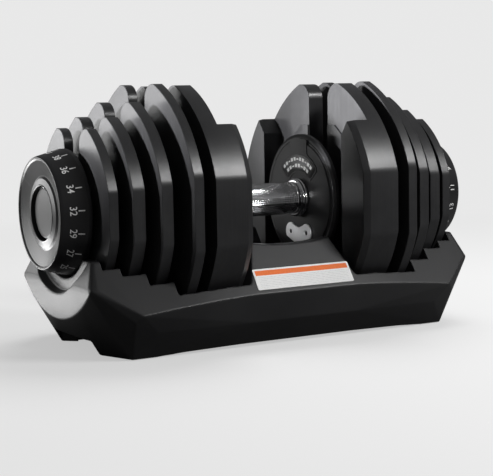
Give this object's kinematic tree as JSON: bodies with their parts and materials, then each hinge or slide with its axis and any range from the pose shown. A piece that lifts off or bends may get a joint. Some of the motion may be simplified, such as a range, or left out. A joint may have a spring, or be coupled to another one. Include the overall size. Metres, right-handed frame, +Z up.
{
  "type": "adjustable dumbbell",
  "caption": "Adjustable dumbbell docked in its tray: turning the end dials chooses which plates lift with the handle.",
  "frame": {"origin": "on the floor below the middle of the grip", "axes": "+X along the handle, +Y across it, +Z up; the front with the label faces -Y"},
  "size_m": [0.436, 0.22, 0.2391],
  "materials": {
    "tray_plastic": "fine matte texture",
    "black_plastic": "matte",
    "plate_coating": "matte black coating over steel",
    "chrome": "polished, knurled grip",
    "steel": "zinc plated",
    "silver": "satin",
    "rubber": "matte",
    "sticker": "blank printed label"
  },
  "bodies": {
    "tray": {"tray_body": "tray_plastic", "label_sticker": "sticker", "lock_prong_left": "steel", "lock_prong_right": "steel", "rubber_foot_front_left": "rubber", "rubber_foot_front_right": "rubber", "rubber_foot_rear_left": "rubber", "rubber_foot_rear_right": "rubber"},
    "handle": {"handle_grip": "chrome", "axle_rod": "steel", "grip_collar_left": "chrome", "end_guard_left": "black_plastic", "guard_badge_left": "black_plastic", "lock_bracket_left": "silver", "axle_nut_left": "steel", "lock_spring_left": "steel", "grip_collar_right": "chrome", "end_guard_right": "black_plastic", "guard_badge_right": "black_plastic", "lock_bracket_right": "silver", "axle_nut_right": "steel", "lock_spring_right": "steel"},
    "dial_left": {"dial_left": "black_plastic", "dial_cap_left": "black_plastic", "selector_sleeve_left": "black_plastic", "selector_disc_1_left": "black_plastic", "selector_disc_2_left": "black_plastic", "selector_disc_3_left": "black_plastic", "selector_disc_4_left": "black_plastic", "selector_disc_5_left": "black_plastic"},
    "lock_left": {"lock_slider_left": "steel"},
    "plate_1_left": {"weight_plate_1_left": "plate_coating", "plate_hook_1_left": "steel"},
    "plate_2_left": {"weight_plate_2_left": "plate_coating", "plate_hook_2_left": "steel"},
    "plate_3_left": {"weight_plate_3_left": "plate_coating", "plate_hook_3_left": "steel"},
    "plate_4_left": {"weight_plate_4_left": "plate_coating", "plate_hook_4_left": "steel"},
    "plate_5_left": {"weight_plate_5_left": "plate_coating", "plate_hook_5_left": "steel"},
    "dial_right": {"dial_right": "black_plastic", "dial_cap_right": "black_plastic", "selector_sleeve_right": "black_plastic", "selector_disc_1_right": "black_plastic", "selector_disc_2_right": "black_plastic", "selector_disc_3_right": "black_plastic", "selector_disc_4_right": "black_plastic", "selector_disc_5_right": "black_plastic"},
    "lock_right": {"lock_slider_right": "steel"},
    "plate_1_right": {"weight_plate_1_right": "plate_coating", "plate_hook_1_right": "steel"},
    "plate_2_right": {"weight_plate_2_right": "plate_coating", "plate_hook_2_right": "steel"},
    "plate_3_right": {"weight_plate_3_right": "plate_coating", "plate_hook_3_right": "steel"},
    "plate_4_right": {"weight_plate_4_right": "plate_coating", "plate_hook_4_right": "steel"},
    "plate_5_right": {"weight_plate_5_right": "plate_coating", "plate_hook_5_right": "steel"}
  },
  "joints": [
    {"name": "handle_lift", "type": "slide", "parent": "tray", "child": "handle", "axis": [0, 0, 1], "range_m": [0, 0.2]},
    {"name": "plate_1_left_lift", "type": "slide", "parent": "tray", "child": "plate_1_left", "axis": [0, 0, 1], "range_m": [0, 0.2]},
    {"name": "plate_2_left_lift", "type": "slide", "parent": "tray", "child": "plate_2_left", "axis": [0, 0, 1], "range_m": [0, 0.2]},
    {"name": "plate_3_left_lift", "type": "slide", "parent": "tray", "child": "plate_3_left", "axis": [0, 0, 1], "range_m": [0, 0.2]},
    {"name": "plate_4_left_lift", "type": "slide", "parent": "tray", "child": "plate_4_left", "axis": [0, 0, 1], "range_m": [0, 0.2]},
    {"name": "plate_5_left_lift", "type": "slide", "parent": "tray", "child": "plate_5_left", "axis": [0, 0, 1], "range_m": [0, 0.2]},
    {"name": "dial_left_turn", "type": "hinge", "parent": "handle", "child": "dial_left", "pos_m": [-0.218, 0, 0.126], "axis": [-1, 0, 0], "range_deg": [0, 338.8]},
    {"name": "lock_left_slide", "type": "slide", "parent": "handle", "child": "lock_left", "axis": [0, 0, -1], "range_m": [0, 0.004], "deforming": ["lock_spring_left"]},
    {"name": "plate_1_right_lift", "type": "slide", "parent": "tray", "child": "plate_1_right", "axis": [0, 0, 1], "range_m": [0, 0.2]},
    {"name": "plate_2_right_lift", "type": "slide", "parent": "tray", "child": "plate_2_right", "axis": [0, 0, 1], "range_m": [0, 0.2]},
    {"name": "plate_3_right_lift", "type": "slide", "parent": "tray", "child": "plate_3_right", "axis": [0, 0, 1], "range_m": [0, 0.2]},
    {"name": "plate_4_right_lift", "type": "slide", "parent": "tray", "child": "plate_4_right", "axis": [0, 0, 1], "range_m": [0, 0.2]},
    {"name": "plate_5_right_lift", "type": "slide", "parent": "tray", "child": "plate_5_right", "axis": [0, 0, 1], "range_m": [0, 0.2]},
    {"name": "dial_right_turn", "type": "hinge", "parent": "handle", "child": "dial_right", "pos_m": [0.218, 0, 0.126], "axis": [1, 0, 0], "range_deg": [0, 338.8]},
    {"name": "lock_right_slide", "type": "slide", "parent": "handle", "child": "lock_right", "axis": [0, 0, -1], "range_m": [0, 0.004], "deforming": ["lock_spring_right"]}
  ],
  "couplings": [
    {"joint": "plate_1_left_lift", "follows": "handle_lift", "ratio": 1},
    {"joint": "plate_2_left_lift", "follows": "handle_lift", "ratio": 1},
    {"joint": "plate_3_left_lift", "follows": "handle_lift", "ratio": 1},
    {"joint": "plate_4_left_lift", "follows": "handle_lift", "ratio": 1},
    {"joint": "plate_5_left_lift", "follows": "handle_lift", "ratio": 1},
    {"joint": "lock_left_slide", "follows": "handle_lift", "ratio": 0.02},
    {"joint": "plate_1_right_lift", "follows": "handle_lift", "ratio": 1},
    {"joint": "plate_2_right_lift", "follows": "handle_lift", "ratio": 1},
    {"joint": "plate_3_right_lift", "follows": "handle_lift", "ratio": 1},
    {"joint": "plate_4_right_lift", "follows": "handle_lift", "ratio": 1},
    {"joint": "plate_5_right_lift", "follows": "handle_lift", "ratio": 1},
    {"joint": "lock_right_slide", "follows": "handle_lift", "ratio": 0.02}
  ]
}
